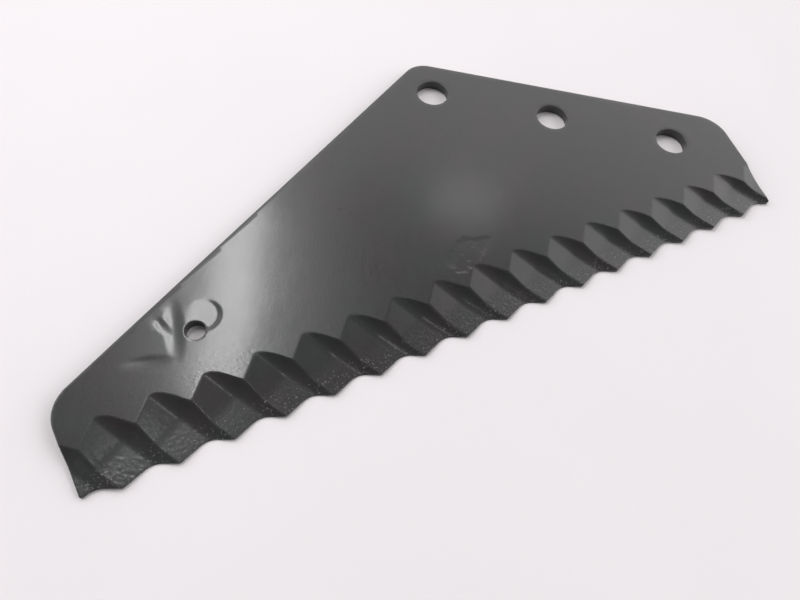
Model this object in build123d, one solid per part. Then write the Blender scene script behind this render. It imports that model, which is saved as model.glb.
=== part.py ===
from build123d import *
from math import cos, radians, sin, tan
import os

# Feed mixer knife: one forged steel plate with a serrated cutting edge.
# Millimetres. The underside lies on z = 0, the middle bolt hole is the origin, the row of bolt
# holes runs along X, and the plate widens from the mounting edge (+Y) to the cutting edge (-Y).

# Plate
thickness = 5.0
mounting_edge_margin = 23.5    # from the middle bolt hole up to the mounting edge
mounting_edge_tilt = 1.25      # degrees that the mounting edge leans off the hole row
mounting_edge_left = 83.4      # from the middle hole to the corner over the back edge
mounting_edge_right = 99.4     # from the middle hole to the corner over the heel
back_edge_angle = 64.4         # degrees from the hole row
back_edge_length = 262.4
toe_angle = 49.5               # degrees below the hole row, from the back edge to the first tip
heel_angle = 64.6              # degrees below the hole row, from the mounting edge to the last tip
back_corner_radius = 14.0
heel_corner_radius = 18.0
toe_corner_radius = 16.0
edge_rounding = 0.5            # worn and painted edge round the top and bottom faces

# Holes
bolt_hole_diameter = 18.0
bolt_hole_pitch = 70.0
bolt_hole_count = 3
small_hole_diameter = 9.0
small_hole_from_back_edge = 22.2
small_hole_along_back_edge = 202.9

# Cutting edge: tips on one line, counted from the first whole tooth near the toe
tip_line_angle = 36.4          # degrees from the hole row
tip_line_x = -157.5            # the first whole tip
tip_line_y = -238.9
tooth_pitch = 22.1
whole_teeth = 16
long_flank_angle = 20.5        # the flank that climbs gently from each tip
short_flank_angle = 27.4       # the flank that drops to the next tip
gullet_radius = 9.3

# Scoops: one pressed hollow for each tooth, leaning towards the toe
scoop_lean = 30.0              # degrees that a scoop leans from square to the tip line
scoop_shift = 1.2              # along the tip line, from the tip to the scoop's own axis
ridge_height_at_tip = 1.7      # plate left under the scoop's axis, beside the tip
floor_slope = 4.0              # degrees, near the cutting edge
shoulder_slope = 12.5          # degrees, where the floor climbs out to the top face
shoulder_reach = 23.5          # from the tip line up the scoop's axis to the top face
shoulder_radius = 50.0         # from the floor into the shoulder
ramp_slope = 4.4               # degrees that the floor falls across, away from the ridge
ramp_width = 11.4
wall_radius = 10.0             # hollow foot of the wall that climbs to the next ridge
wall_sweep = 42.0              # degrees turned by that foot
ramp_overlap = 8.0             # floor carried past the ridge, into the scoop before
scoop_clearance = 8.0          # height of the pressing tool over its own floor
scoop_run_out = 14.0           # length of the tool past the tip line
fading_tooth = 8               # the scoops grow shallower past this tooth
fading_step = 0.12             # rise of each later scoop
toe_scoop_rise = 0.6           # the cut-off scoop at the toe is shallower too


def direction(angle):
    return Vector(cos(radians(angle)), sin(radians(angle)))


def meet(point_a, angle_a, point_b, angle_b):
    """Where two lines cross, each given by a point and an angle from X."""
    a, b, gap = direction(angle_a), direction(angle_b), point_b - point_a
    along = (gap.X * b.Y - gap.Y * b.X) / (a.X * b.Y - a.Y * b.X)
    return point_a + a * along


# Corners of the plate before its corners are rounded
mounting_edge_foot = Vector(0, mounting_edge_margin)
back_corner = mounting_edge_foot - direction(mounting_edge_tilt) * mounting_edge_left
heel_corner = mounting_edge_foot + direction(mounting_edge_tilt) * mounting_edge_right
toe_corner = back_corner - direction(back_edge_angle) * back_edge_length
first_tip = Vector(tip_line_x, tip_line_y)
toe_end = meet(toe_corner, -toe_angle, first_tip, tip_line_angle)
heel_end = meet(heel_corner, -heel_angle, first_tip, tip_line_angle)
small_hole = (back_corner - direction(back_edge_angle) * small_hole_along_back_edge
              + direction(back_edge_angle - 90) * small_hole_from_back_edge)

tip_line = Plane(first_tip, x_dir=direction(tip_line_angle), z_dir=(0, 0, 1))
tooth_steps = range(-1, whole_teeth + 1)


def blank():
    """The plate with its rounded corners and edges, still with a straight cutting edge."""
    outline = make_face(Polyline(back_corner, toe_corner, toe_end, heel_end, heel_corner, close=True))
    rounded = {back_corner: back_corner_radius, toe_corner: toe_corner_radius,
               heel_corner: heel_corner_radius}
    for corner, radius in rounded.items():
        vertex = outline.vertices().sort_by_distance(corner)[0]
        outline = fillet(vertex, radius)
    plate = extrude(outline, thickness)
    rims = plate.faces().filter_by(Axis.Z).edges().sort_by(SortBy.LENGTH)
    cutting_side = rims[-2:]
    return fillet([edge for edge in rims if edge not in cutting_side], edge_rounding)


def gullet():
    """The notch between two tips, in the frame of the tip line, from its first tip at x = 0."""
    long_slope, short_slope = tan(radians(long_flank_angle)), tan(radians(short_flank_angle))
    crest_x = tooth_pitch * short_slope / (long_slope + short_slope)
    drop = tooth_pitch / 2
    notch = make_face(Polyline((-drop / long_slope, -drop), (crest_x, crest_x * long_slope),
                               (tooth_pitch + drop / short_slope, -drop), close=True))
    crest = notch.vertices().sort_by(Axis.Y)[-1]
    return extrude(fillet(crest, gullet_radius), thickness)


def scoop():
    """The pressing tool of one scoop: X across the scoop, Y up its axis, z = 0 the underside."""
    floor, shoulder = tan(radians(floor_slope)), tan(radians(shoulder_slope))
    bend_y = (ridge_height_at_tip - thickness + shoulder_reach * shoulder) / (shoulder - floor)
    end_y = shoulder_reach + scoop_clearance
    with BuildLine(Plane.YZ) as axis:
        FilletPolyline((-scoop_run_out, ridge_height_at_tip - scoop_run_out * floor),
                       (bend_y, ridge_height_at_tip + bend_y * floor),
                       (end_y, thickness + scoop_clearance * shoulder), radius=shoulder_radius)
    path = axis.wire()
    across = Plane(path @ 0, x_dir=(1, 0, 0), z_dir=-(path % 0))
    fall = tan(radians(ramp_slope))
    ramp_start, valley = (-ramp_overlap, ramp_overlap * fall), (ramp_width, -ramp_width * fall)
    foot = JernArc(valley, (1, -fall), wall_radius, wall_sweep)
    wall_top = foot @ 1 + foot % 1 * (scoop_clearance - (foot @ 1).Y) / (foot % 1).Y
    section = Line(ramp_start, valley) + foot
    section += Polyline(foot @ 1, wall_top, (-ramp_overlap, scoop_clearance), ramp_start)
    return sweep(across * make_face(section), path=path)


def rise(step):
    """How much shallower the scoop of a tooth is than the deepest ones."""
    return toe_scoop_rise if step < 0 else max(0, step - fading_tooth) * fading_step


def serrated(plate):
    notch, tool = gullet(), scoop()
    for step in tooth_steps:
        plate -= tip_line * Pos(step * tooth_pitch, 0, 0) * notch
    for step in tooth_steps:
        place = Pos(step * tooth_pitch + scoop_shift, 0, rise(step)) * Rot(0, 0, scoop_lean)
        plate -= tip_line * place * tool
    return plate


def drilled(plate):
    drill_length = 2 * thickness
    middle = (bolt_hole_count - 1) / 2
    for i in range(bolt_hole_count):
        plate -= Pos((i - middle) * bolt_hole_pitch, 0, 0) * Cylinder(bolt_hole_diameter / 2, drill_length)
    return plate - Pos(small_hole.X, small_hole.Y, 0) * Cylinder(small_hole_diameter / 2, drill_length)


knife = drilled(serrated(blank()))
os.makedirs("parts", exist_ok=True)
export_step(knife, "parts/mixer_knife.step")
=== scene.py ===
from cmath import phase
from math import cos, pi, radians, sin, tan

import bpy
import numpy as np
from bpy.props import FloatProperty, FloatVectorProperty, IntProperty, PointerProperty
from mathutils import Matrix, Vector, kdtree
from mathutils.geometry import delaunay_2d_cdt


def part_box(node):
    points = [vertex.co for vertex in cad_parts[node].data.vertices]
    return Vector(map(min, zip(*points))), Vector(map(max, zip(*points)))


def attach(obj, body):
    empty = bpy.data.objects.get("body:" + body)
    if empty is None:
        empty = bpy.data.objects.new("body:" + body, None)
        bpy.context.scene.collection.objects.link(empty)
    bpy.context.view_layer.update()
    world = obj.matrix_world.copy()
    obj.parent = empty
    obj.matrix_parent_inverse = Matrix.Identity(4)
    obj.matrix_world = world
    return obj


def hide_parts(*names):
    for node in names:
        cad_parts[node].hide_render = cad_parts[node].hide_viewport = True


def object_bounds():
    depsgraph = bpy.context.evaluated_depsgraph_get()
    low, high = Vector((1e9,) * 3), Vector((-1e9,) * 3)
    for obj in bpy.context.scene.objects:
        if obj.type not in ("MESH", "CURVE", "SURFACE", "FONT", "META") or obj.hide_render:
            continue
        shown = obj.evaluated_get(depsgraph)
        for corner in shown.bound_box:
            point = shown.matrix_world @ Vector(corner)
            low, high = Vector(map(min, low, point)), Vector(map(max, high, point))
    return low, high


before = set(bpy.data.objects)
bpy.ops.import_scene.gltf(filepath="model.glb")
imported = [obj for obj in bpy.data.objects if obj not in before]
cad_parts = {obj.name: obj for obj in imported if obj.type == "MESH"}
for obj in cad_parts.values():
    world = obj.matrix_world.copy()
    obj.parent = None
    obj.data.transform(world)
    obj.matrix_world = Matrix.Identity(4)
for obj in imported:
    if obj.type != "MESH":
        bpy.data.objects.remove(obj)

bl_info = {
    "name": "Feed mixer knife",
    "version": (1, 0, 0),
    "blender": (4, 5, 0),
    "location": "3D View > Sidebar > Mixer Knife",
    "description": "A forged knife for a feed mixer, with a pressed serration and worn black paint",
    "category": "Add Mesh",
}

# Metres, in the frame of the solid: z = 0 is the underside, the middle bolt hole is the origin.
MM = 0.001
NODE = "mixer_knife"
BODY = "root"
cad_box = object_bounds()
plate_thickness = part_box(NODE)[1].z


def length(name, default_mm, description):
    return FloatProperty(name=name, description=description, default=default_mm * MM,
                         unit="LENGTH", precision=5)


def angle(name, default_degrees, description):
    return FloatProperty(name=name, description=description, default=radians(default_degrees),
                         subtype="ANGLE")


def plain(name, default, description):
    return FloatProperty(name=name, description=description, default=default, min=0.0)


def colour(name, default, description):
    return FloatVectorProperty(name=name, description=description, default=default, size=4,
                               subtype="COLOR", min=0.0, max=1.0)


class PlateSizes(bpy.types.PropertyGroup):
    """The flat plate: its outline and its holes"""

    thickness: FloatProperty(name="Thickness", description="From the underside to the top face",
                             default=plate_thickness, unit="LENGTH", precision=5)
    margin: length("Mounting edge margin", 23.5, "From the middle bolt hole up to the mounting edge")
    tilt: angle("Mounting edge tilt", 1.25, "How far the mounting edge leans off the hole row")
    left: length("Mounting edge, left", 83.4, "From the middle hole to the corner over the back edge")
    right: length("Mounting edge, right", 99.4, "From the middle hole to the corner over the heel")
    back_angle: angle("Back edge angle", 64.4, "Between the back edge and the hole row")
    back_length: length("Back edge length", 262.4, "Between its two corners")
    toe_angle: angle("Toe angle", 49.5, "How steeply the toe end drops to the first tip")
    heel_angle: angle("Heel angle", 64.6, "How steeply the heel end drops to the last tip")
    back_radius: length("Back corner radius", 14.0, "Where the mounting edge meets the back edge")
    heel_radius: length("Heel corner radius", 18.0, "Where the mounting edge meets the heel end")
    toe_radius: length("Toe corner radius", 16.0, "Where the back edge meets the toe end")
    edge_rounding: length("Edge rounding", 0.5, "Radius of the worn rim of the plate")
    bolt_hole_radius: length("Bolt hole radius", 9.0, "Of each of the three bolt holes")
    bolt_hole_pitch: length("Bolt hole pitch", 70.0, "From each bolt hole to the next")
    small_hole_radius: length("Small hole radius", 4.5, "Of the hole near the toe")
    small_hole_in: length("Small hole, inward", 22.2, "From the back edge to the small hole")
    small_hole_down: length("Small hole, down", 202.9, "From the back corner, along the back edge")


class ToothSizes(bpy.types.PropertyGroup):
    """The cutting edge: tips on one straight line, with a gullet between each two"""

    line_angle: angle("Tip line angle", 36.4, "Between the line of the tips and the hole row")
    first_tip: FloatVectorProperty(name="First tip", description="The first whole tip near the toe",
                                   default=(-157.5 * MM, -238.9 * MM), size=2, unit="LENGTH")
    pitch: length("Pitch", 22.1, "From each tip to the next")
    whole_teeth: IntProperty(name="Whole teeth", description="Without the cut-off ones at the ends",
                             default=16)
    long_flank: angle("Long flank", 20.5, "Climb of the flank after each tip")
    short_flank: angle("Short flank", 27.4, "Drop of the flank before the next tip")
    gullet_radius: length("Gullet radius", 9.3, "Round bottom of the notch between two tips")
    tip_wear: length("Tip wear", 0.45, "How blunt the tips are")


class ScoopSizes(bpy.types.PropertyGroup):
    """The pressed hollow of each tooth"""

    lean: angle("Lean", 30.0, "How far a scoop leans from square to the tip line")
    shift: length("Shift", 1.2, "Along the tip line, from the tip to the scoop's own axis")
    tip_height: length("Height at the tip", 1.7, "Plate left under the scoop's axis at the tip line")
    floor_slope: angle("Floor slope", 4.0, "Climb of the floor near the cutting edge")
    shoulder_slope: angle("Shoulder slope", 12.5, "Climb of the floor out to the top face")
    reach: length("Reach", 23.5, "From the tip line up the scoop's axis to the top face")
    shoulder_radius: length("Shoulder radius", 50.0, "From the floor into the shoulder")
    ramp_slope: angle("Ramp slope", 4.4, "Fall of the floor across, away from its ridge")
    ramp_width: length("Ramp width", 11.4, "From the scoop's axis to the foot of the wall")
    wall_radius: length("Wall radius", 10.0, "Hollow foot of the wall that climbs to the next ridge")
    wall_sweep: angle("Wall sweep", 42.0, "Turned by that foot")
    overlap: length("Overlap", 8.0, "Floor carried past the ridge, into the scoop before")
    fading_tooth: IntProperty(name="Fading tooth", description="The scoops grow shallower past it",
                              default=8)
    fading_step: length("Fading step", 0.12, "Rise of each later scoop")
    toe_rise: length("Toe rise", 0.6, "Rise of the cut-off scoop at the toe")
    variation: length("Variation", 0.12, "How much deeper or shallower one scoop is than the next")
    ridge_softness: length("Ridge softness", 0.9, "Blend of two scoops where they meet")
    brim_softness: length("Brim softness", 0.1, "Blend of a scoop into the top face")


class WearSettings(bpy.types.PropertyGroup):
    """Unevenness of the rolled plate, grain of the forging, dents and flaked paint"""

    waviness: length("Waviness", 0.05, "Long waves of the rolled plate")
    ripple: length("Ripple", 0.012, "Short waves of the rolled plate")
    forging: length("Forging grain", 0.22, "Grain that the press leaves in the scoops")
    scale_pits: length("Scale pits", 0.14, "Pits of the scale over the first teeth")
    dish_depth: length("Dish depth", 0.35, "Round dish beside the small hole")
    groove_depth: length("Groove depth", 0.3, "Grooves on the other side of that hole")
    flake_depth: length("Flake depth", 0.07, "Paint missing in the flaked patch")
    seed: IntProperty(name="Seed", description="Changes every random pattern", default=3)


# Marks that the photograph shows: middle in the plan, half sizes, turn of the oval in degrees
DISH = (-150.4, -163.2), (7.6, 7.6), 0
DEEP_SIDE = (-143.5, -163.0), (8.0, 10.0), 0
GROOVES = (((-160.0, -171.5), (2.6, 9.5), 24), ((-165.2, -172.0), (1.5, 3.6), 55),
           ((-165.5, -189.0), (6.5, 1.8), 20))
SCALE_PATCH = (-135.5, -183.0), (14.0, 8.0), 36
FLAKED_PATCH = (-38.5, -104.5), (13.0, 7.0), 50


def direction(turn):
    return complex(cos(turn), sin(turn))


def meet(a, along_a, b, along_b):
    """Where the line through a crosses the line through b."""
    return a + along_a * ((b - a) * along_b.conjugate()).imag / (along_a * along_b.conjugate()).imag


def rounded(before, corner, after, radius, step):
    """The arc that rounds a corner, from the side before it to the side after it."""
    back, ahead = (before - corner) / abs(before - corner), (after - corner) / abs(after - corner)
    half = abs(phase(ahead / back)) / 2
    centre = corner + (back + ahead) / abs(back + ahead) * radius / sin(half)
    start = corner + back * radius / tan(half) - centre
    end = corner + ahead * radius / tan(half) - centre
    turn = phase(end / start)
    count = max(6, int(abs(turn) * radius / step))
    return [centre + start * direction(turn * i / count) for i in range(count + 1)]


def filled(points, step):
    """A closed line of points with no gap longer than step."""
    out = []
    for a, b in zip(points, points[1:] + points[:1]):
        count = max(1, round(abs(b - a) / step))
        out += [a + (b - a) * i / count for i in range(count)]
    return out


def gullet_depth(teeth, past_tip):
    """How far the cutting edge stands back from the tip line, at a distance past a tip."""
    climb, drop = tan(teeth.long_flank), tan(teeth.short_flank)
    radius = teeth.gullet_radius
    lift_a, lift_b = radius / cos(teeth.long_flank), radius / cos(teeth.short_flank)
    centre = (teeth.pitch * drop - lift_b + lift_a) / (climb + drop)
    depth = centre * climb - lift_a
    flanks = np.minimum(past_tip * climb, (teeth.pitch - past_tip) * drop)
    arc = depth + np.sqrt(np.maximum(radius ** 2 - (past_tip - centre) ** 2, 0))
    round_part = ((past_tip > centre - radius * sin(teeth.long_flank))
                  & (past_tip < centre + radius * sin(teeth.short_flank)))
    gap = np.minimum(past_tip, teeth.pitch - past_tip) * (climb + drop)
    blunt = (np.sqrt(gap ** 2 + teeth.tip_wear ** 2) - gap) / 2
    return np.where(round_part, arc, flanks) + blunt


def plate_outline(plate, teeth):
    """The outline from above, anticlockwise from the toe's first tip, and how many of its points
    belong to the cutting edge."""
    mounting = direction(plate.tilt)
    back = 1j * plate.margin - mounting * plate.left
    heel = 1j * plate.margin + mounting * plate.right
    toe = back - direction(plate.back_angle) * plate.back_length
    first_tip, tip_line = complex(*teeth.first_tip), direction(teeth.line_angle)
    toe_side, heel_side = direction(-plate.toe_angle), direction(-plate.heel_angle)
    toe_end = meet(toe, toe_side, first_tip, tip_line)
    heel_end = meet(heel, heel_side, first_tip, tip_line)

    per_tooth = 48
    count = (teeth.whole_teeth + 2) * per_tooth
    along = (np.arange(count + 1) / per_tooth - 1) * teeth.pitch
    edge = first_tip + tip_line * (along + 1j * gullet_depth(teeth, along % teeth.pitch))
    inside = (((edge - toe_end) * np.conj(toe_side)).imag > 0)
    inside &= (((edge - heel_end) * np.conj(heel_side)).imag < 0)
    first, last = np.flatnonzero(inside)[[0, -1]]
    start = meet(edge[first], edge[first] - edge[first - 1], toe, toe_side)
    end = meet(edge[last], edge[last + 1] - edge[last], heel, heel_side)
    worn_radius, worn_step, skipped = 0.8 * MM, 0.3 * MM, 4
    cutting = (rounded(toe, start, edge[first + skipped], worn_radius, worn_step)
               + list(edge[first + skipped:last - skipped])
               + rounded(edge[last - skipped], end, heel, worn_radius, worn_step))

    arc_step, side_step = 0.7 * MM, 1.2 * MM
    sides = (rounded(end, heel, back, plate.heel_radius, arc_step)
             + rounded(heel, back, toe, plate.back_radius, arc_step)
             + rounded(back, toe, start, plate.toe_radius, arc_step))
    around = filled(cutting[-1:] + sides + cutting[:1], side_step)
    return cutting + around[1:around.index(cutting[0])], len(cutting)


def small_hole_centre(plate):
    """In the plan, as a complex number."""
    back = 1j * plate.margin - direction(plate.tilt) * plate.left
    down = direction(plate.back_angle)
    return back - down * plate.small_hole_down - 1j * down * plate.small_hole_in


def hole_rims(plate):
    """Each hole as (centre, radius, its rim clockwise from above)."""
    holes = [(complex(i * plate.bolt_hole_pitch, 0), plate.bolt_hole_radius) for i in (-1, 0, 1)]
    holes.append((small_hole_centre(plate), plate.small_hole_radius))
    step = 0.6 * MM
    rims = []
    for centre, radius in holes:
        count = int(2 * pi * radius / step)
        rims.append((centre, radius, [centre + radius * direction(-2 * pi * i / count) for i in range(count)]))
    return rims


def outward(line):
    """Unit normals of a closed line, on its right, lengthened where it turns."""
    ahead = np.roll(line, -1) - line
    ahead /= abs(ahead)
    behind = np.roll(ahead, 1)
    middle = ahead + behind
    middle /= abs(middle)
    stretch = np.minimum(1 / (middle * ahead.conj()).real, 1.4)
    return -1j * middle * stretch


def lattice(origin, along, spacing, rows, columns):
    """Staggered points: rows and columns are ranges, along is the direction of the rows."""
    column, row = np.meshgrid(np.arange(*columns), np.arange(*rows))
    shifted = column + 0.5 * (row % 2)
    return (origin + along * (shifted * spacing[0] + 1j * row * spacing[1])).ravel()


def off_holes(points, holes):
    """The points that aren't over a hole."""
    for centre, radius, _ in holes:
        points = points[abs(points - centre) > radius]
    return points


def spaced(points, taken, gap):
    """The points that keep a gap from the ones already taken."""
    tree = kdtree.KDTree(len(taken))
    for i, place in enumerate(taken):
        tree.insert((place.real, place.imag, 0), i)
    tree.balance()
    return np.array([p for p in points if tree.find((p.real, p.imag, 0))[2] > gap], dtype=complex)


def triangles(loops, inner):
    """Triangles between closed lines, the outline first and then the holes, over the inner points.
    Gives triples of point numbers, and the inner points that they use."""
    points = np.concatenate(loops + [inner])
    borders, owner, start = [], np.full(len(points), -1), 0
    for which, loop in enumerate(loops):
        borders += [(start + i, start + (i + 1) % len(loop)) for i in range(len(loop))]
        owner[start:start + len(loop)] = which
        start += len(loop)
    flat = [Vector((p.real, p.imag)) for p in points / MM]
    inside_borders = 1
    _, _, faces, sources, _, _ = delaunay_2d_cdt(flat, borders, [], inside_borders, 1e-6)
    corners = np.array([[sources[v][0] for v in face] for face in faces])
    owners = owner[corners]
    over_hole = (owners[:, 0] > 0) & (owners[:, 0] == owners[:, 1]) & (owners[:, 1] == owners[:, 2])
    corners = corners[~over_hole]
    used = np.unique(corners)
    used = used[used >= start]
    number = np.arange(len(points))
    number[used] = start + np.arange(len(used))
    return number[corners], points[used]


def fine_points(plate, teeth, scoops, rims):
    """Points of the top face: closest over the scoops, close round the small hole."""
    first_tip, tip_line = complex(*teeth.first_tip), direction(teeth.line_angle)
    run = (teeth.whole_teeth + 2) * teeth.pitch
    band, border = 33 * MM, 50 * MM

    def back_from_tips(points):
        return ((points - first_tip) * tip_line.conjugate()).imag

    across, up = 0.46 * MM, 0.72 * MM
    leaning = tip_line * direction(scoops.lean)
    rows, columns = (0, int(1.7 * run / up)), (-int(run / across), int(run / across))
    pressed = lattice(first_tip - 2 * run * 1j * leaning * 0.3, leaning, (across, up), rows, columns)
    depth = back_from_tips(pressed)
    along = ((pressed - first_tip) * tip_line.conjugate()).real
    pressed = pressed[(depth > 0) & (depth < band) & (along > -teeth.pitch) & (along < run)]

    size = abs(complex(*(cad_box[1] - cad_box[0]).xy))
    zones = []
    for step, wanted in ((0.75 * MM, lambda p: (abs(p - small_hole_centre(plate)) < 17 * MM)),
                         (1.2 * MM, lambda p: back_from_tips(p) < border),
                         (2.2 * MM, lambda p: back_from_tips(p) < size)):
        half = int(size / step)
        spread = lattice(0j, 1 + 0j, (step, step * sin(pi / 3)), (-half, half), (-half, half))
        spread = spread[wanted(spread) & (back_from_tips(spread) >= band)]
        low, high = cad_box[0] - Vector((step,) * 3), cad_box[1] + Vector((step,) * 3)
        spread = spread[(spread.real > low.x) & (spread.real < high.x)
                        & (spread.imag > low.y) & (spread.imag < high.y)]
        zones.append((step, spread))
    taken = np.concatenate(rims)
    kept = spaced(pressed, taken, 0.5 * across)
    for step, spread in zones:
        near = spaced(spread, np.concatenate([taken, kept]), 0.6 * step)
        kept = np.concatenate([kept, near])
    return kept


def plate_mesh(plate, teeth, scoops):
    """The plate as flat as it leaves the shears, closed, with its rims in rows. Two attributes say
    where the serration puts each point: its share of the height, and its step off that height."""
    outline, cutting = plate_outline(plate, teeth)
    holes = hole_rims(plate)
    loops = [np.array(outline)] + [np.array(rim) for _, _, rim in holes]
    worn_edge, hole_edge = 0.22 * MM, 0.25 * MM
    rounding = [np.full(len(loop), hole_edge) for loop in loops]
    reach = 4
    rounding[0][cutting + reach:-reach] = plate.edge_rounding
    rounding[0][:cutting + reach] = rounding[0][-reach:] = worn_edge
    wrapped = np.concatenate([rounding[0][-reach:], rounding[0], rounding[0][:reach]])
    rounding[0] = np.convolve(wrapped, np.full(2 * reach + 1, 1 / (2 * reach + 1)), "valid")

    segments = 3
    turns = [pi / 2 * i / segments for i in range(segments + 1)]
    low = [(1 - sin(a), 1 - cos(a), 0.0) for a in turns]
    high = [(1 - sin(a), cos(a) - 1, 1.0) for a in reversed(turns)]
    profile = low + [(0.0, 0.0, 0.35), (0.0, 0.0, 0.7)] + high

    places, shares, steps, faces, rows_of = [], [], [], [], []
    count = 0
    for loop, radius in zip(loops, rounding):
        inward = -outward(loop)
        rows = []
        for inset, step, height in profile:
            places.append(loop + inward * inset * radius)
            shares.append(np.full(len(loop), height))
            steps.append(step * radius)
            rows.append(np.arange(count, count + len(loop)))
            count += len(loop)
        for under, over in zip(rows, rows[1:]):
            after = np.roll(under, -1), np.roll(over, -1)
            faces += np.stack([under, after[0], after[1], over], axis=1).tolist()
        rows_of.append(rows)

    wall_faces = len(faces)
    top_loops = [places[i * len(profile) + len(profile) - 1] for i in range(len(loops))]
    low_loops = [places[i * len(profile)] for i in range(len(loops))]
    step = 4 * MM
    half = int(0.4 / step)
    spread = lattice(0j, 1 + 0j, (step, step * sin(pi / 3)), (-half, half), (-half, half))
    size = [cad_box[0].x, cad_box[1].x, cad_box[0].y, cad_box[1].y]
    spread = spread[(spread.real > size[0]) & (spread.real < size[1])
                    & (spread.imag > size[2]) & (spread.imag < size[3])]
    low_inner = spaced(spread, np.concatenate(low_loops), 0.6 * step)
    for face_loops, inner, row, height in (
            (top_loops, fine_points(plate, teeth, scoops, top_loops), -1, 1.0),
            (low_loops, low_inner, 0, 0.0)):
        corners, inner = triangles(face_loops, off_holes(inner, holes))
        number = np.concatenate([rows[row] for rows in rows_of] + [np.arange(count, count + len(inner))])
        faces += (number[corners] if height else number[corners][:, ::-1]).tolist()
        places.append(inner)
        shares.append(np.full(len(inner), height))
        steps.append(np.zeros(len(inner)))
        count += len(inner)

    flat = np.concatenate(places)
    mesh = bpy.data.meshes.new("plate")
    mesh.from_pydata(np.stack([flat.real, flat.imag, np.zeros(count)], axis=1).tolist(), [], faces)
    for name, values in (("height_share", shares), ("height_step", steps)):
        mesh.attributes.new(name, "FLOAT", "POINT").data.foreach_set("value", np.concatenate(values))
    wall = np.zeros(len(mesh.polygons), dtype=bool)
    wall[:wall_faces] = True
    mesh.attributes.new("wall", "BOOLEAN", "FACE").data.foreach_set("value", wall)
    mesh.shade_smooth()
    return mesh


class Value:
    """A socket of a node tree that can stand in a formula."""

    def __init__(self, tree, socket):
        self.tree, self.socket = tree, socket

    def math(self, operation, *others, **settings):
        return number(self.tree, operation, self, *others, **settings)

    def __add__(self, other):
        return self.math("ADD", other)

    def __sub__(self, other):
        return self.math("SUBTRACT", other)

    def __mul__(self, other):
        return self.math("MULTIPLY", other)

    def __truediv__(self, other):
        return self.math("DIVIDE", other)

    def __rsub__(self, other):
        return number(self.tree, "SUBTRACT", other, self)

    def __rtruediv__(self, other):
        return number(self.tree, "DIVIDE", other, self)

    __radd__, __rmul__ = __add__, __mul__

    def __neg__(self):
        return self * -1.0


def node(tree, kind, *inputs, named=None, **settings):
    """Adds a node: its inputs in order or by name, each a Value or a plain setting."""
    new = tree.nodes.new(kind)
    for key, value in settings.items():
        setattr(new, key, value)
    pairs = list(zip(new.inputs, inputs)) + [(new.inputs[key], value) for key, value in (named or {}).items()]
    for socket, value in pairs:
        if isinstance(value, Value):
            tree.links.new(value.socket, socket)
        elif value is not None:
            socket.default_value = value
    return new


def number(tree, operation, *values, clamp=False):
    new = node(tree, "ShaderNodeMath", *values, operation=operation, use_clamp=clamp)
    return Value(tree, new.outputs[0])


def output(tree, kind, name, *inputs, **settings):
    """Adds a node and gives one of its outputs."""
    return Value(tree, node(tree, kind, *inputs, **settings).outputs[name])


def smooth_step(value, low, high):
    """0 below low, 1 above high, and soft between."""
    new = node(value.tree, "ShaderNodeMapRange", value, low, high, 0.0, 1.0, interpolation_type="SMOOTHSTEP")
    return Value(value.tree, new.outputs[0])


def noise(tree, place, scale, detail=2.0, roughness=0.5, name="Fac"):
    """Noise with blobs of about 1 / scale metres, from 0 to 1."""
    return output(tree, "ShaderNodeTexNoise", name,
                  named={"Vector": place, "Scale": scale, "Detail": detail, "Roughness": roughness})


def group_inputs(tree, sizes):
    """A named input of the tree for each size, as Values by the size's own name."""
    for name, (label, value) in sizes.items():
        kind = "NodeSocketInt" if isinstance(value, int) else "NodeSocketFloat"
        socket = tree.interface.new_socket(label, in_out="INPUT", socket_type=kind)
        socket.default_value = value
    entry = tree.nodes.new("NodeGroupInput")
    return {name: Value(tree, entry.outputs[label]) for name, (label, _) in sizes.items()}


def scoop_height(tree, size, along, inward, tooth):
    """Height of the hollow that the pressing tool of one tooth leaves, far up where it has none."""
    nowhere, slope_away = 1.0, 8.0
    forward = along - tooth * size["pitch"] - size["shift"]
    lean_cos, lean_sin = size["lean"].math("COSINE"), size["lean"].math("SINE")
    across = forward * lean_cos + inward * lean_sin
    up = inward * lean_cos - forward * lean_sin
    floor = size["tip_height"] + up * size["floor_slope"].math("TANGENT")
    shoulder = size["thickness"] + (up - size["reach"]) * size["shoulder_slope"].math("TANGENT")
    bed = floor.math("SMOOTH_MAX", shoulder, size["shoulder_blend"])

    fall = size["ramp_slope"].math("TANGENT")
    section = -across.math("MINIMUM", size["ramp_width"]) * fall
    radius, end_slope = size["wall_radius"], size["wall_sweep"] - size["ramp_slope"]
    centre = size["ramp_width"] + radius * size["ramp_slope"].math("SINE")
    end = centre + radius * end_slope.math("SINE")
    beside = across.math("MAXIMUM", size["ramp_width"]).math("MINIMUM", end) - centre
    section = section + (radius * size["ramp_slope"].math("COSINE")
                         - (radius * radius - beside * beside).math("MAXIMUM", 0.0).math("SQRT"))
    section = section + (across - end).math("MAXIMUM", 0.0) * end_slope.math("TANGENT")
    outside = (-across - size["overlap"]).math("MAXIMUM", 0.0)
    missing = tooth.math("LESS_THAN", -1.5) + tooth.math("GREATER_THAN", size["whole_teeth"] + 0.5)

    rise = (tooth - size["fading_tooth"]).math("MAXIMUM", 0.0) * size["fading_step"]
    rise = rise + tooth.math("LESS_THAN", -0.5) * size["toe_rise"]
    random = node(tree, "ShaderNodeTexWhiteNoise", named={"W": tooth + size["seed"]}, noise_dimensions="1D")
    rise = rise + (Value(tree, random.outputs["Value"]) - 0.5) * size["variation"]
    return bed + section + outside * slope_away + missing * nowhere + rise


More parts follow.
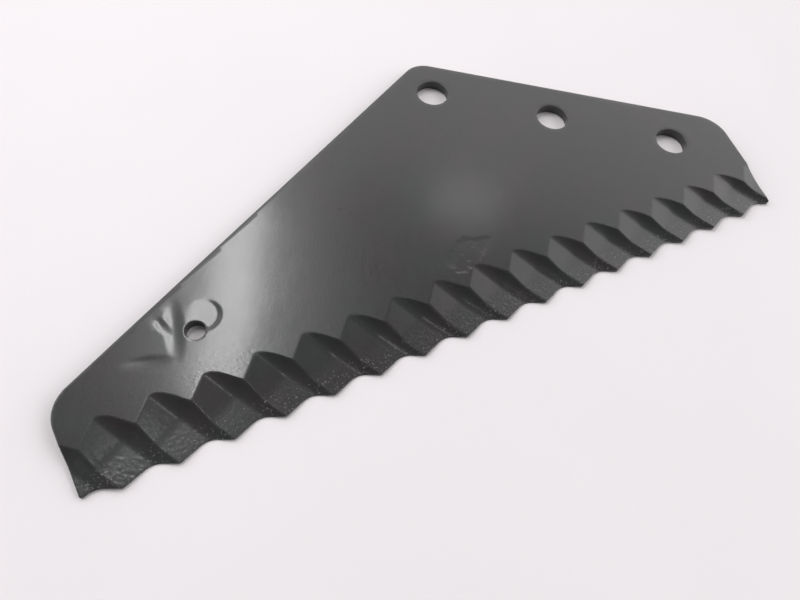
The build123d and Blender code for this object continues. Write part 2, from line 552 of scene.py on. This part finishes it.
def oval(x, y, mark, border):
    """1 inside a mark of the plan and 0 outside, with a soft border of that share of its size."""
    middle, half, turn = mark
    turn_cos, turn_sin = cos(radians(turn)), sin(radians(turn))
    right, up = x - middle[0] * MM, y - middle[1] * MM
    u = (right * turn_cos + up * turn_sin) / (half[0] * MM)
    v = (up * turn_cos - right * turn_sin) / (half[1] * MM)
    return 1.0 - smooth_step((u * u + v * v).math("SQRT"), 1.0 - border, 1.0 + border)


def hollows(tree, size, x, y, inward, pressed):
    """How far the surface lies under its ideal height, and masks of the forged grain, the pitted
    scale and the flaked paint."""
    moved = output(tree, "ShaderNodeCombineXYZ", "Vector", x + size["seed"], y + size["seed"], 0.0)
    waves = noise(tree, moved, 30.0) * size["waviness"] + noise(tree, moved, 130.0) * size["ripple"]
    grain = noise(tree, moved, 650.0, 3.0, 0.65)

    near_edge = 1.0 - smooth_step(inward, 8 * MM, 20 * MM)
    forged = pressed * (near_edge * 0.75 + 0.25)
    pitted = oval(x, y, SCALE_PATCH, 0.5) * (1.0 - pressed)
    ragged = noise(tree, moved, 180.0, 4.0, 0.6) - 0.5
    flaked = smooth_step(oval(x, y, FLAKED_PATCH, 0.9) + ragged * 1.2, 0.45, 0.52) * (1.0 - pressed)

    depth = waves + forged * (grain - 0.3).math("MAXIMUM", 0.0) * size["forging"]
    depth = depth + pitted * (grain - 0.45).math("MAXIMUM", 0.0) * size["scale_pits"]
    dish = oval(x, y, DISH, 0.12) * oval(x, y, DEEP_SIDE, 0.9)
    depth = depth + dish * size["dish_depth"] + flaked * size["flake_depth"]
    for mark in GROOVES:
        depth = depth + oval(x, y, mark, 0.95) * size["groove_depth"]
    return depth, {"forged": forged, "pitted": pitted, "flaked": flaked}


def serration_tree(sizes, material, wall_material):
    """Geometry nodes that press the scoops into the flat plate and roughen it as forging does."""
    tree = bpy.data.node_groups.new("Pressed serration", "GeometryNodeTree")
    tree.interface.new_socket("Geometry", in_out="INPUT", socket_type="NodeSocketGeometry")
    size = group_inputs(tree, sizes)
    tree.interface.new_socket("Geometry", in_out="OUTPUT", socket_type="NodeSocketGeometry")
    mesh = Value(tree, tree.nodes.new("NodeGroupInput").outputs["Geometry"])

    place = output(tree, "GeometryNodeInputPosition", "Position")
    split = node(tree, "ShaderNodeSeparateXYZ", place)
    x, y = Value(tree, split.outputs["X"]), Value(tree, split.outputs["Y"])
    right, up = x - size["tip_x"], y - size["tip_y"]
    line_cos, line_sin = size["line_angle"].math("COSINE"), size["line_angle"].math("SINE")
    along, inward = right * line_cos + up * line_sin, up * line_cos - right * line_sin

    lean_cos, lean_sin = size["lean"].math("COSINE"), size["lean"].math("SINE")
    across = (along - size["shift"]) * lean_cos + inward * lean_sin
    nearest = (across / (size["pitch"] * lean_cos)).math("FLOOR")
    heights = [scoop_height(tree, size, along, inward, nearest + offset) for offset in (-1.0, 0.0, 1.0)]
    scoops = heights[0].math("SMOOTH_MIN", heights[1], size["ridge_softness"])
    scoops = scoops.math("SMOOTH_MIN", heights[2], size["ridge_softness"])
    height = scoops.math("SMOOTH_MIN", size["thickness"], size["brim_softness"])

    share = output(tree, "GeometryNodeInputNamedAttribute", "Attribute", named={"Name": "height_share"})
    step = output(tree, "GeometryNodeInputNamedAttribute", "Attribute", named={"Name": "height_step"})
    thin = (height / (size["thickness"] * 0.4)).math("MINIMUM", 1.0)
    scooped = smooth_step(size["thickness"] - height, 0.0, 0.25 * MM)
    under, masks = hollows(tree, size, x, y, inward, scooped)
    lifted = output(tree, "ShaderNodeCombineXYZ", "Vector", 0.0, 0.0, (height - under) * share + step * thin)
    pressed = output(tree, "GeometryNodeSetPosition", "Geometry", mesh, None, None, lifted)

    # Painted highlight mask: near the brim where a scoop meets the top face, broken into patches. The paint there is
    # lightened as if its rounded edge caught the light.
    brim = 1.0 - smooth_step((scoops - size["thickness"]).math("ABSOLUTE"), 0.0, size["brim_width"])
    patchy = smooth_step(noise(tree, place, 22.0, 1.0), 0.45, 0.62)
    masks["brim"] = brim * patchy
    for name, value in masks.items():
        pressed = output(tree, "GeometryNodeStoreNamedAttribute", "Geometry", pressed, None, name,
                         value * share, data_type="FLOAT", domain="POINT")
    painted = output(tree, "GeometryNodeSetMaterial", "Geometry", pressed, None, material)
    wall = output(tree, "GeometryNodeInputNamedAttribute", "Attribute", named={"Name": "wall"},
                  data_type="BOOLEAN")
    painted = output(tree, "GeometryNodeSetMaterial", "Geometry", painted, wall, wall_material)
    whole = output(tree, "GeometryNodeRealizeInstances", "Geometry", painted)
    node(tree, "NodeGroupOutput", whole)
    return tree


def serration_sizes(plate, teeth, scoops, wear):
    """Name, label and value of each input of the serration tree."""
    turn = scoops.shoulder_slope - scoops.floor_slope
    rise = tan(scoops.shoulder_slope) - tan(scoops.floor_slope)
    sizes = {"thickness": ("Thickness", plate.thickness), "tip_x": ("First Tip X", teeth.first_tip[0]),
             "tip_y": ("First Tip Y", teeth.first_tip[1]), "line_angle": ("Tip Line Angle", teeth.line_angle),
             "pitch": ("Pitch", teeth.pitch), "whole_teeth": ("Whole Teeth", teeth.whole_teeth),
             "shoulder_blend": ("Shoulder Blend", scoops.shoulder_radius * tan(turn / 2) * rise),
             "brim_width": ("Brim Width", 0.3 * MM)}
    for group in (scoops, wear):
        for name in type(group).__annotations__:
            if name != "shoulder_radius":
                sizes[name] = (name.replace("_", " ").title(), getattr(group, name))
    return sizes


def baked(tree, mesh, name):
    """A plain mesh of what the geometry nodes make of a mesh, as a new object."""
    source = bpy.data.objects.new(name + "_flat", mesh)
    bpy.context.scene.collection.objects.link(source)
    modifier = source.modifiers.new("Serration", "NODES")
    modifier.node_group = tree
    for socket in tree.interface.items_tree:
        if socket.in_out == "INPUT" and socket.socket_type != "NodeSocketGeometry":
            modifier[socket.identifier] = socket.default_value
    evaluated = source.evaluated_get(bpy.context.evaluated_depsgraph_get())
    result = bpy.data.meshes.new_from_object(evaluated)
    bpy.data.objects.remove(source)
    result.name = name
    piece = bpy.data.objects.new(name, result)
    bpy.context.scene.collection.objects.link(piece)
    return piece


def mixed(tree, factor, a, b):
    """A colour between a and b."""
    new = node(tree, "ShaderNodeMix", factor, None, None, None, None, None, a, b, data_type="RGBA")
    return Value(tree, new.outputs[2])


def shader_group(name, inputs, outputs):
    """An empty group with named sockets, and its inputs as Values by their names."""
    tree = bpy.data.node_groups.new(name, "ShaderNodeTree")
    for label, kind in inputs.items():
        tree.interface.new_socket(label, in_out="INPUT", socket_type="NodeSocket" + kind)
    for label, kind in outputs.items():
        tree.interface.new_socket(label, in_out="OUTPUT", socket_type="NodeSocket" + kind)
    entry = tree.nodes.new("NodeGroupInput")
    return tree, {label: Value(tree, entry.outputs[label]) for label in inputs}


def paint_group():
    """Black paint over rolled steel: cloudy tints, gloss and grain that vary over the surface."""
    tree, given = shader_group(
        "Black Paint", {"Place": "Vector", "Warm": "Color", "Cool": "Color", "Fleck": "Color",
                        "Roughness": "Float", "Streaks": "Float"},
        {"Color": "Color", "Roughness": "Float", "Height": "Float"})
    place = given["Place"]
    cloud = noise(tree, place, 38.0, 4.0, 0.6)
    grain = noise(tree, place, 1300.0, 3.0, 0.7)
    stretched = output(tree, "ShaderNodeVectorMath", "Vector", place, (1.0, 0.14, 1.0), operation="MULTIPLY")
    streak = noise(tree, stretched, 900.0, 3.0, 0.6)
    colour = mixed(tree, smooth_step(cloud, 0.38, 0.62), given["Warm"], given["Cool"])
    fleck = smooth_step(noise(tree, place, 1900.0, 2.0, 0.6), 0.66, 0.74)
    colour = mixed(tree, fleck * 0.5, colour, given["Fleck"])
    uneven = (cloud - 0.5) * 0.16 + (grain - 0.5) * 0.22 + (streak - 0.5) * given["Streaks"]
    node(tree, "NodeGroupOutput", colour, given["Roughness"] + uneven, grain * 0.7 + streak * given["Streaks"])
    return tree


def wear_and_highlight_group():
    """Paint worn thin under a mask, broken up into specks, over a second colour. Along the brims the second colour is
    a painted highlight.
    """
    tree, given = shader_group(
        "Worn Paint And Highlight", {"Place": "Vector", "Color": "Color", "Worn": "Color", "Roughness": "Float",
                       "Worn Roughness": "Float", "Mask": "Float", "Speck Scale": "Float"},
        {"Color": "Color", "Roughness": "Float", "Height": "Float"})
    specks = noise(tree, given["Place"], given["Speck Scale"], 3.0, 0.65)
    bare = smooth_step(specks + given["Mask"] * 0.3, 0.88, 1.0)
    colour = mixed(tree, bare, given["Color"], given["Worn"])
    roughness = given["Roughness"] + bare * (given["Worn Roughness"] - given["Roughness"])
    node(tree, "NodeGroupOutput", colour, roughness, -bare)
    return tree


def grouped(tree, group, **given):
    """A group node whose inputs are given by name with underscores, as its outputs by name."""
    new = node(tree, "ShaderNodeGroup", node_tree=group)
    for key, value in given.items():
        socket = new.inputs[key.replace("_", " ")]
        if isinstance(value, Value):
            tree.links.new(value.socket, socket)
        else:
            socket.default_value = value
    return {socket.name: Value(tree, socket) for socket in new.outputs}


def painted(name, paint, worn, settings, base_roughness, streaks, bump):
    """Black paint with its worn places and a painted highlight along the scoop brims, for the faces or for the cut
    edges.
    """
    material = bpy.data.materials.new(name)
    material.use_nodes = True
    tree = material.node_tree
    shader = tree.nodes["Principled BSDF"]
    place = output(tree, "ShaderNodeTexCoord", "Object")
    mask = {key: output(tree, "ShaderNodeAttribute", "Fac", attribute_name=key)
            for key in ("brim", "forged", "pitted", "flaked")}

    coat = grouped(tree, paint, Place=place, Warm=settings.warm, Cool=settings.cool, Fleck=settings.fleck,
                   Roughness=base_roughness, Streaks=streaks)
    colour, roughness, height = coat["Color"], coat["Roughness"], coat["Height"]
    # Layers over the paint: forged scale, pitted scale and flaked paint are real marks. The last layer, along the
    # brims, is a painted highlight.
    for key, speck_scale, layer_colour, layer_roughness in (
            ("forged", 1100.0, settings.forged, 0.5), ("pitted", 1500.0, settings.pitted, 0.55),
            ("flaked", 500.0, settings.flaked, 0.45), ("brim", 700.0, settings.rim, 0.4)):
        layer = grouped(tree, worn, Place=place, Color=colour, Worn=layer_colour, Roughness=roughness,
                        Worn_Roughness=layer_roughness, Mask=mask[key], Speck_Scale=speck_scale)
        colour, roughness = layer["Color"], layer["Roughness"]
        height = height + layer["Height"] * 0.5
    relief = node(tree, "ShaderNodeBump", named={"Height": height, "Strength": 1.0, "Distance": bump})
    for socket, value in (("Base Color", colour), ("Roughness", roughness),
                          ("Normal", Value(tree, relief.outputs[0]))):
        tree.links.new(value.socket, shader.inputs[socket])
    shader.inputs["Coat Weight"].default_value = settings.gloss
    shader.inputs["Coat Roughness"].default_value = settings.gloss_roughness
    return material


class PaintSettings(bpy.types.PropertyGroup):
    """Colours and gloss of the black paint, and the pale grey of a painted highlight along the brims"""

    warm: colour("Warm black", (0.027, 0.0235, 0.0255, 1.0), "Brown-violet tint of the paint")
    cool: colour("Cool black", (0.0215, 0.0245, 0.0235, 1.0), "Green-grey tint of the paint")
    fleck: colour("Fleck", (0.075, 0.075, 0.08, 1.0), "Fine light specks in the paint")
    forged: colour("Forged", (0.17, 0.165, 0.17, 1.0), "Specks of scale in the scoops")
    pitted: colour("Pitted", (0.20, 0.19, 0.185, 1.0), "Specks of scale over the first teeth")
    flaked: colour("Flaked", (0.055, 0.055, 0.054, 1.0), "Where the paint has flaked off")
    # Rim: a painted highlight, pale grey laid along the scoop brims in place of the light that their rounded edges
    # catch.
    rim: colour("Rim", (0.30, 0.29, 0.30, 1.0), "Steel that shows along the brims")
    roughness: plain("Roughness", 0.34, "Of the flat faces")
    cut_roughness: plain("Cut roughness", 0.5, "Of the cut edges")
    gloss: plain("Gloss", 0.55, "Weight of the glossy top layer")
    gloss_roughness: plain("Gloss roughness", 0.16, "Of that layer")


class StageSettings(bpy.types.PropertyGroup):
    """Camera, floor and lights"""

    camera_place: FloatVectorProperty(name="Camera", description="Where the camera stands", size=3,
                                      default=(-71.1 * MM, -272.3 * MM, 246.4 * MM), unit="LENGTH")
    camera_target: FloatVectorProperty(name="Target", description="Point of the floor that it looks at",
                                       size=3, default=(-66.6 * MM, -134.2 * MM, 0.0), unit="LENGTH")
    camera_roll: angle("Camera roll", 12.63, "How far the camera leans to its left")
    camera_lens: FloatProperty(name="Lens", description="Focal length, in millimetres of a 36 mm sensor",
                               default=27.09)
    floor_colour: colour("Floor colour", (0.90, 0.865, 0.885, 1.0), "Off-white table")
    horizon: plain("Horizon", 1.25, "Radiance of the far side, low down")
    behind: plain("Behind", 0.12, "Radiance behind the camera and overhead")
    sides: plain("Sides", 2.2, "Radiance to the left and right")


# Soft boxes on the ceiling, which face down: place over the plate's middle, size, turn, radiance
CEILING = 1.2
SOFT_BOXES = {"window": ((-0.457, 0.575), (0.12, 0.66), 10, 20.0),
              "second_window": ((0.13, 1.02), (0.20, 0.16), 0, 3.0),
              "overhead": ((0.02, 0.05), (0.10, 0.14), 0, 5.0)}


def look_from(place, target, roll):
    """A matrix at place that looks at target, leaning by roll."""
    turned = (Vector(target) - Vector(place)).to_track_quat("-Z", "Y").to_matrix().to_4x4()
    return Matrix.Translation(place) @ turned @ Matrix.Rotation(roll, 4, "Z")


def soft_box(name, place, size, turn, radiance):
    """An area light on the ceiling, with the power that gives its face the radiance."""
    light = bpy.data.lights.new(name, "AREA")
    light.shape = "RECTANGLE"
    light.size, light.size_y = size
    light.energy = radiance * size[0] * size[1] * pi
    middle = (cad_box[0] + cad_box[1]) / 2
    lamp = bpy.data.objects.new(name, light)
    lamp.location = middle + Vector((*place, CEILING))
    lamp.rotation_euler.z = radians(turn)
    lamp.visible_camera = False
    bpy.context.scene.collection.objects.link(lamp)


def surroundings(stage):
    """A room that is bright on the far side and on both sides, and dark behind the camera."""
    world = bpy.data.worlds.new("room")
    world.use_nodes = True
    tree = world.node_tree
    tree.nodes.clear()
    split = node(tree, "ShaderNodeSeparateXYZ", output(tree, "ShaderNodeTexCoord", "Generated"))
    x, y, z = (Value(tree, split.outputs[axis]) for axis in "XYZ")
    low = 1.0 - smooth_step(z, sin(radians(45)), sin(radians(56)))
    far = smooth_step(y, -0.05, 0.3)
    side = smooth_step(x.math("ABSOLUTE"), 0.55, 0.8) * (1.0 - smooth_step(y.math("ABSOLUTE"), 0.3, 0.6))
    strength = low * far * (stage.horizon - stage.behind) + side * stage.sides + stage.behind
    light = node(tree, "ShaderNodeBackground", (1.0, 0.985, 0.99, 1.0), strength)
    node(tree, "ShaderNodeOutputWorld", Value(tree, light.outputs[0]))
    return world


def table_material(stage):
    """Off-white laminate: faint clouds and a fine grain."""
    material = bpy.data.materials.new("pale_table")
    material.use_nodes = True
    tree = material.node_tree
    shader = tree.nodes["Principled BSDF"]
    place = output(tree, "ShaderNodeTexCoord", "Object")
    cloud, grain = noise(tree, place, 9.0, 3.0), noise(tree, place, 900.0, 2.0)
    shade = tuple(value * 0.975 for value in stage.floor_colour[:3]) + (1.0,)
    colour = mixed(tree, smooth_step(cloud, 0.3, 0.7) * 0.6 + grain * 0.4, shade, tuple(stage.floor_colour))
    relief = node(tree, "ShaderNodeBump", named={"Height": grain, "Strength": 0.3, "Distance": 0.02 * MM})
    for socket, value in (("Base Color", colour), ("Roughness", 0.55 + (grain - 0.5) * 0.1),
                          ("Normal", Value(tree, relief.outputs[0]))):
        tree.links.new(value.socket, shader.inputs[socket])
    return material


class MIXERKNIFE_OT_knife(bpy.types.Operator):
    """Build the knife: plate, serration and paint"""

    bl_idname = "mixer_knife.knife"
    bl_label = "Knife"

    def execute(self, context):
        plate, teeth, scoops, wear, paint = (
            getattr(context.scene, name) for name in groups if name != "knife_stage")
        flat = plate_mesh(plate, teeth, scoops)
        # The worn-paint group lays both the real wear and the painted highlight along the brims.
        black, worn = paint_group(), wear_and_highlight_group()
        face = painted("painted_face", black, worn, paint, paint.roughness, 0.16, 0.06 * MM)
        cut = painted("painted_cut", black, worn, paint, paint.cut_roughness, 0.05, 0.12 * MM)
        tree = serration_tree(serration_sizes(plate, teeth, scoops, wear), face, cut)
        knife = baked(tree, flat, "knife")
        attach(knife, BODY)
        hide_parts(NODE)
        return {"FINISHED"}


class MIXERKNIFE_OT_stage(bpy.types.Operator):
    """Set the floor, the lights and the camera"""

    bl_idname = "mixer_knife.stage"
    bl_label = "Stage"

    def execute(self, context):
        stage = context.scene.knife_stage
        size = 6.0
        mesh = bpy.data.meshes.new("floor")
        mesh.from_pydata([(-size, -size, 0), (size, -size, 0), (size, size, 0), (-size, size, 0)], [], [(0, 1, 2, 3)])
        floor = bpy.data.objects.new("floor", mesh)
        mesh.materials.append(table_material(stage))
        context.scene.collection.objects.link(floor)

        context.scene.world = surroundings(stage)
        for name, box in SOFT_BOXES.items():
            soft_box(name, *box)
        lens = bpy.data.cameras.new("camera")
        lens.sensor_fit = "HORIZONTAL"
        lens.sensor_width = 36.0
        lens.lens = stage.camera_lens
        camera = bpy.data.objects.new("camera", lens)
        camera.matrix_world = look_from(stage.camera_place, stage.camera_target, stage.camera_roll)
        context.scene.collection.objects.link(camera)
        context.scene.camera = camera
        context.scene.view_settings.view_transform = "Standard"
        return {"FINISHED"}


class MIXERKNIFE_PT_sidebar(bpy.types.Panel):
    """Sizes and buttons in the 3D view's sidebar"""

    bl_label = "Mixer Knife"
    bl_idname = "MIXERKNIFE_PT_sidebar"
    bl_space_type = "VIEW_3D"
    bl_region_type = "UI"
    bl_category = "Mixer Knife"

    def draw(self, context):
        buttons = {"knife_paint": MIXERKNIFE_OT_knife.bl_idname, "knife_stage": MIXERKNIFE_OT_stage.bl_idname}
        for name in groups:
            group = getattr(context.scene, name)
            box = self.layout.box()
            for key in type(group).__annotations__:
                box.prop(group, key)
            if name in buttons:
                box.operator(buttons[name])


groups = {"knife_plate": PlateSizes, "knife_teeth": ToothSizes, "knife_scoops": ScoopSizes,
          "knife_wear": WearSettings, "knife_paint": PaintSettings, "knife_stage": StageSettings}
classes = (*groups.values(), MIXERKNIFE_OT_knife, MIXERKNIFE_OT_stage, MIXERKNIFE_PT_sidebar)


def register():
    for cls in classes:
        bpy.utils.register_class(cls)
    for name, cls in groups.items():
        setattr(bpy.types.Scene, name, PointerProperty(type=cls))


def unregister():
    for name in groups:
        delattr(bpy.types.Scene, name)
    for cls in reversed(classes):
        bpy.utils.unregister_class(cls)


def main():
    register()
    bpy.ops.mixer_knife.knife()
    bpy.ops.mixer_knife.stage()


if __name__ == "__main__":
    main()
